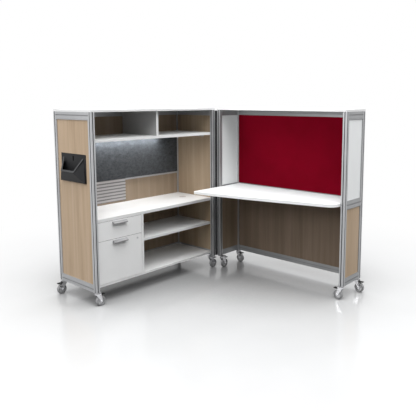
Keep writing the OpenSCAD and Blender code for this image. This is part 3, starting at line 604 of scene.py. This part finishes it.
# Covers pressed into the slots on the inner side of the desk unit's back rails, darker than the
# rails as painted shade along the slots.
COVER_INSET = 0.033  # from the unit's side to the end of a cover
COVER_THICK = 0.0008
RAIL_DEEP = 0.02
low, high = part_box("desk_rails")
back = high.y - RAIL_DEEP
strip("desk_slot_covers_painted_shade", "desk_unit", "black_plastic", SLOT_COVER_PAINTED_SHADE,
      *[((low.x + COVER_INSET, back - COVER_THICK / 2, z - RAIL_GROOVE_HALF),
         (high.x - COVER_INSET, back + COVER_THICK / 2, z + RAIL_GROOVE_HALF))
        for z in (LOW_RAIL, TOP_RAIL)])

# Drawer pulls: a bent strip of metal that slopes down over the fingers to a lip.
# The section's points are (way out, height), from the top at the drawer's front.
PULL = ((0, 0), (0.006, 0), (0.0215, -0.0095), (0.0242, -0.0115), (0.025, -0.014),
        (0.025, -0.0215), (0.022, -0.0215), (0.022, -0.0148), (0.0206, -0.0124),
        (0.0055, -0.003), (0.003, -0.003), (0.003, -0.0125), (0, -0.0125))
PULL_INSET = 0.005  # at each end of the plain pull
PULL_UPWARD = 0.3  # faces that turn up more than this are the strip's bright top


def pull(name, body):
    """The bent strip, in the place of the plain pull of that name."""
    low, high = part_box(name)
    bm = bmesh.new()
    rows = [[bm.verts.new((low.x + out, y, high.z + down)) for out, down in PULL]
            for y in (low.y + PULL_INSET, high.y - PULL_INSET)]
    for i in range(len(PULL)):
        j = (i + 1) % len(PULL)
        bm.faces.new((rows[0][i], rows[0][j], rows[1][j], rows[1][i]))
    for row in rows:
        bm.faces.new(row)
    o = added(name + "_bent", bm, body, SATIN)
    # The strip's faces that don't turn up take painted shade.
    o.data.materials.append(PULL_LIP_PAINTED_SHADE)
    for p in o.data.polygons:
        p.material_index = 0 if p.normal.z > PULL_UPWARD else 1
    soften(o, 0.0005)
    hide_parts(name)


pull("box_drawer_pull", "box_drawer")
pull("file_drawer_pull", "file_drawer")

# Domed rivet heads on the forks, and ribs on the brake pads.
RIVET = ((0.0052, 0), (0.0046, 0.0007), (0.003, 0.0012), (0.001, 0.0014))
FORK_HALF = 0.01995  # from the wheel's middle to just under the fork's outer face
RIBS = 5
RIB_FROM, RIB_STEP = 0.037, 0.0045  # ahead of the stem
RIB_LOW, RIB_HIGH = (-0.0009, -0.0105, -0.0002), (0.0009, 0.0105, 0.0008)
for name in CASTERS:
    axle = Vector(joints[name + "_roll"]["pos_m"])
    stem = Vector(joints[name + "_turn"]["pos_m"])
    side = Vector(joints[name + "_roll"]["axis"]).normalized()
    ahead = Vector((axle.x - stem.x, axle.y - stem.y, 0)).normalized()
    bm = bmesh.new()
    for way in (1, -1):
        turned(bm, axle + side * way * FORK_HALF, side * way, RIVET)
    added(name + "_rivets", bm, name + "_swivel", CHROME)
    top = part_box(name + "_brake")[1].z
    bm = bmesh.new()
    for i in range(RIBS):
        mid = stem + ahead * (RIB_FROM + RIB_STEP * i)
        turn = Matrix.Translation((mid.x, mid.y, top)) @ Matrix.Rotation(
            math.atan2(ahead.y, ahead.x), 4, "Z")
        slab(bm, RIB_LOW, RIB_HIGH, turn)
    added(name + "_pad_ribs", bm, name + "_lever", PEDAL)


def band(bm, edge, face, reach, thick):
    """Add a strip that follows edge: reach wide on its inner side, thick along face."""
    inward = [face.cross((b - a).normalized()) for a, b in zip(edge, edge[1:])]
    rows = []
    for i, p in enumerate(edge):
        if 0 < i < len(edge) - 1:
            one, two = inward[i - 1], inward[i]
            shift = (one + two) * reach / (1 + one.dot(two))
        else:
            end = inward[0] if i == 0 else inward[-1]
            shift = Vector((reach / end.x, 0, 0))
        rows.append([bm.verts.new(p + step) for step in
                     (Vector(), shift, shift + face * thick, face * thick)])
    for low, high in zip(rows, rows[1:]):
        for k in range(4):
            bm.faces.new((low[k], low[(k + 1) % 4], high[(k + 1) % 4], high[k]))
    bm.faces.new(rows[0])
    bm.faces.new(rows[-1])


# A flat band round the wall pocket's mouth, lightened with a painted highlight, whose edge runs
# from the plate down to the pouch's lip, along it and back up to the plate.
PLATE = 0.003
WALL_INSET, LIP_INSET = 0.026, 0.0775  # from the pocket's sides
WALL_UP, LIP_UP = 0.1798, 0.0772  # from its foot
RIM_WIDE, RIM_THICK = 0.015, 0.002
low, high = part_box("wall_pocket")
plate_y = high.y - PLATE
wall_y, wall_z = plate_y + 0.001, low.z + WALL_UP
lip_y, lip_z = low.y + 0.0019, low.z + LIP_UP
slope = Vector((0, wall_y - lip_y, wall_z - lip_z)).normalized()
mouth = [Vector(p) for p in ((low.x + WALL_INSET, wall_y, wall_z),
                             (low.x + LIP_INSET, lip_y, lip_z),
                             (high.x - LIP_INSET, lip_y, lip_z),
                             (high.x - WALL_INSET, wall_y, wall_z))]
bm = bmesh.new()
band(bm, mouth, Vector((0, -slope.z, slope.y)), RIM_WIDE, RIM_THICK)
soften(added("pocket_rim", bm, "storage_unit", RIM_PAINTED_HIGHLIGHT), 0.0005)

# Near-black painted shade for the hang slot above the mouth.
SLOT_HALF = 0.007
SLOT_FROM, SLOT_TO = 0.053, 0.016  # below the pocket's top
mid = (low.x + high.x) / 2
strip("pocket_slot_painted_shade", "storage_unit", "black_plastic", SLOT_PAINTED_SHADE,
      ((mid - SLOT_HALF, plate_y - 0.0006, high.z - SLOT_FROM),
       (mid + SLOT_HALF, plate_y + 0.001, high.z - SLOT_TO)))

# A cable grommet let into the worktop, its ring as (radius, height).
GROMMET_AT = (-0.67, 0.36)
GROMMET_RING = ((0.031, 0), (0.031, 0.0016), (0.0302, 0.0022), (0.0265, 0.0022),
                (0.026, 0.0012), (0.004, 0.0012))
GROMMET_SUNK = 0.001
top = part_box("storage_worktop")[1].z
bm = bmesh.new()
turned(bm, Vector((*GROMMET_AT, top - GROMMET_SUNK)), Vector((0, 0, 1)), GROMMET_RING, 40)
added("worktop_grommet", bm, "storage_unit", GROMMET)

# The key slot in the lock, as a black bar of painted shade.
KEY_WIDE, KEY_HIGH = 0.0016, 0.007
face_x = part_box("lock_cylinder")[1].x
at = Vector(joints["lock_turn"]["pos_m"])
strip("lock_key_slot_painted_shade", "drawer_lock", "black_metal", BLACK,
      ((face_x - 0.0005, at.y - KEY_WIDE / 2, at.z - KEY_HIGH / 2),
       (face_x + 0.0003, at.y + KEY_WIDE / 2, at.z + KEY_HIGH / 2)))


# Floor, light and backdrop.
FLOOR_HALF = 14
FLOOR_BOUNCE = 0.1
FADE = (1.1, 3.3)  # metres from the object's middle at which the fade starts and ends


def floor():
    """A pale floor that shows the shadow and a faint mirror, with painted shade near the object,
    and fades to white.
    """
    mesh = bpy.data.meshes.new("floor")
    s = FLOOR_HALF
    mesh.from_pydata([(-s, -s, 0), (s, -s, 0), (s, s, 0), (-s, s, 0)], [], [(0, 1, 2, 3)])
    o = bpy.data.objects.new("floor", mesh)
    bpy.context.scene.collection.objects.link(o)
    m = Nodes("floor")
    path = m.add("ShaderNodeLightPath")
    tone = m.ramp(m.noise(2, detail=2), [(0.3, 0.55), (0.7, 0.57)])
    # Painted shade: the floor's colour darkens where the object crowds it, by ambient occlusion.
    near = m.add("ShaderNodeAmbientOcclusion", Distance=1.1)
    near.samples = 8
    painted_floor_shade = m.ramp(near, [(0.2, 0.5), (0.95, 1.0)], "AO")
    m.colour(m.neutral_bounce(path, m.mix("MULTIPLY", 1.0, tone, painted_floor_shade), FLOOR_BOUNCE))
    m.set(Specular_IOR_Level=0.5)
    m.rough(m.noise(6), 0.14, 0.2)
    reach = m.add("ShaderNodeVectorMath")
    reach.operation = "LENGTH"
    m.link(m.coord, "Object", reach, 0)
    fade = m.add("ShaderNodeMapRange", From_Min=FADE[0], From_Max=FADE[1])
    fade.interpolation_type = "SMOOTHSTEP"
    m.link(reach, "Value", fade, "Value")
    shown = m.combine("MULTIPLY", m.seen(path), 0, fade, "Result")
    m.output(shown, m.bsdf, m.white("ShaderNodeEmission"))
    mesh.materials.append(m.mat)


# How much of the sky's colour comes from each height, from level to straight up.
DOME = ((0.0, 0.0), (0.3, 0.025), (0.6, 0.65), (1.0, 1.0))
SKY = (1.94, 1.97, 2.0, 1)


def backdrop():
    """A soft sky that lights the object and shows as plain white."""
    world = bpy.data.worlds.new("studio")
    bpy.context.scene.world = world
    world.use_nodes = True
    w = Tree(world.node_tree, "ShaderNodeOutputWorld")
    split = w.add("ShaderNodeSeparateXYZ")
    w.link(w.add("ShaderNodeTexCoord"), "Generated", split, 0)
    ambient = w.add("ShaderNodeBackground", Color=SKY)
    w.link(w.ramp(split, DOME, "Z"), "Color", ambient, "Strength")
    shown = w.seen(w.add("ShaderNodeLightPath"))
    w.output(shown, ambient, w.white("ShaderNodeBackground"))


def lamp(name, at, to, size, watts, colour=(1, 1, 1)):
    """A rectangular lamp at one point, turned to another."""
    data = bpy.data.lights.new(name, "AREA")
    data.shape = "RECTANGLE"
    data.size, data.size_y = size
    data.energy = watts
    data.color = colour
    o = bpy.data.objects.new(name, data)
    bpy.context.scene.collection.objects.link(o)
    o.location = at
    o.rotation_euler = (Vector(to) - Vector(at)).to_track_quat("-Z", "Y").to_euler()
    return o


floor()
backdrop()
lamp("left_lamp", (-0.8, -4.2, 2.5), (0.1, 0.6, 1.1), (2.2, 1.2), 60)
lamp("right_lamp", (3.8, 0.6, 4.0), (-0.2, -0.2, 0.7), (2.6, 2.6), 53)
lamp("front_lamp", (2.4, -2.6, 5.4), (0, 0, 0.7), (3.6, 3.6), 66)
lamp("high_lamp", (1.2, -1.3, 6.5), (0, 0.2, 0.5), (3, 3), 115)

# A narrow beam from the front evens out the shade under the desk unit's cap.
BEAM_FROM, BEAM_TO = Vector((0.25, -4.6, 1.8)), Vector((0.25, 0.8, 1.62))
beam = bpy.data.lights.new("cap_beam", "SPOT")
beam.energy = 300
beam.spot_size = math.radians(17)
beam.spot_blend = 0.6
beam.shadow_soft_size = 0.12
shine = bpy.data.objects.new("cap_beam", beam)
bpy.context.scene.collection.objects.link(shine)
shine.location = BEAM_FROM
shine.rotation_euler = (BEAM_TO - BEAM_FROM).to_track_quat("-Z", "Y").to_euler()

# What the task light throws: a wash on the tackboard, and a softer light on the worktop.
low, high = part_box("task_light")
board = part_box("tackboard")[1]
mid = (low + high) / 2
lamp_z = low.z - 0.003
wash_y = mid.y - 0.04
wash = lamp("task_lamp", (board.x + 0.045, wash_y, lamp_z),
            (board.x, wash_y, low.z - 0.055), (0.82, 0.02), 1.36, (0.92, 0.96, 1.0))
wash.data.spread = math.radians(110)
task = lamp("worktop_lamp", (mid.x, mid.y, lamp_z), (mid.x + 0.12, mid.y, low.z - 0.5),
            (0.86, 0.03), 1.6, (1.0, 0.98, 0.97))
task.data.spread = math.radians(140)

bpy.context.scene.view_settings.view_transform = "Standard"
